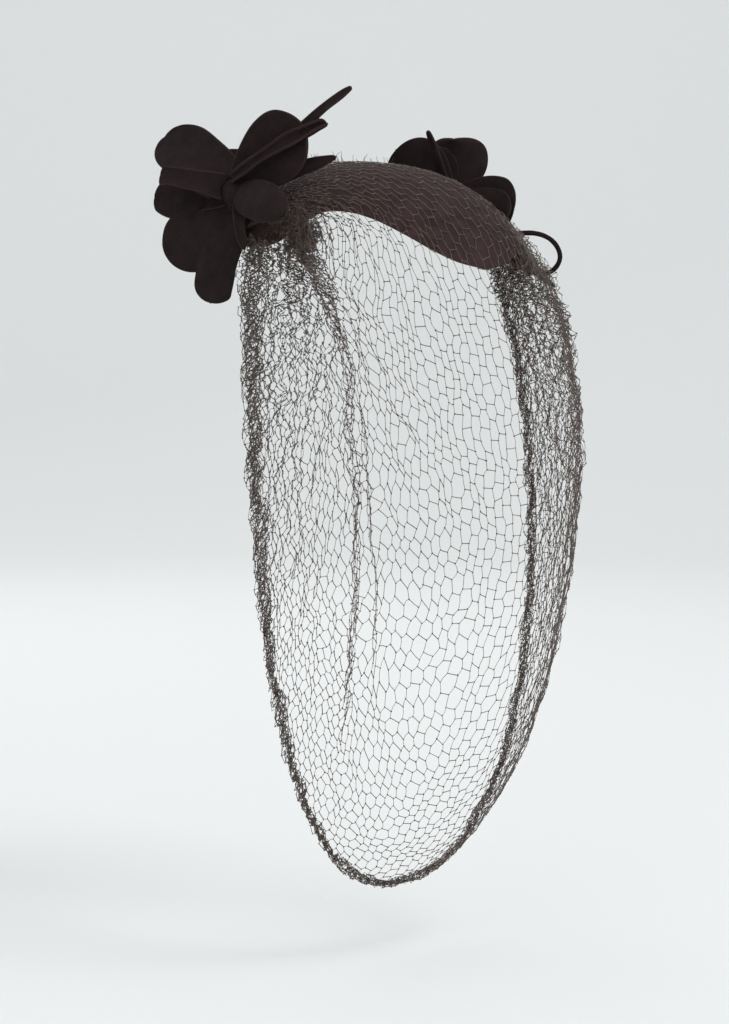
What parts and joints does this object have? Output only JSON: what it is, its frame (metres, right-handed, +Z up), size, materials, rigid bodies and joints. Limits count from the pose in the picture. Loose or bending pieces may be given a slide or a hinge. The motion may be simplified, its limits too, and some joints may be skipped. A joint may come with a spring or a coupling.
{
  "type": "veiled half hat",
  "caption": "Small felt half hat with a heart-shaped front edge, felt flowers at both sides, a felt cord loop, and a long net veil over crown and face, gathered under the flowers.",
  "frame": {"origin": "top of the wearer's head, on the inner face of the felt cap, where the cap sits on the head", "axes": "+Z up out of the crown, -Y the way the wearer faces, +X the wearer's left"},
  "size_m": [0.2126, 0.1853, 0.4074],
  "materials": {
    "cap_felt": "blocked wool felt, matt dark brown",
    "petal_felt": "cut and stiffened wool felt, matt near-black brown",
    "cord_felt": "rolled felt over wire, matt near-black brown",
    "net": "brown six-sided knotted veil net"
  },
  "bodies": {
    "root": {"felt_cap": "cap_felt", "net_veil": "net", "right_flower_core": "petal_felt", "right_front_oval": "petal_felt", "right_loop_band": "petal_felt", "right_upright_petal": "petal_felt", "right_rolled_strip": "petal_felt", "right_long_strip": "petal_felt", "right_crown_strip": "petal_felt", "right_top_petal": "petal_felt", "right_top_petal_back": "petal_felt", "right_side_petal": "petal_felt", "right_low_round_petal": "petal_felt", "right_low_long_petal": "petal_felt", "right_narrow_strip": "petal_felt", "left_flower_core": "petal_felt", "left_rose_petal": "petal_felt", "left_inner_petal": "petal_felt", "left_back_petal": "petal_felt", "left_small_tail": "petal_felt", "left_side_petal": "petal_felt", "left_curled_petal": "petal_felt", "left_low_petal": "petal_felt", "left_low_tail": "petal_felt", "left_low_back_petal": "petal_felt", "left_cord_loop": "cord_felt"}
  },
  "joints": []
}
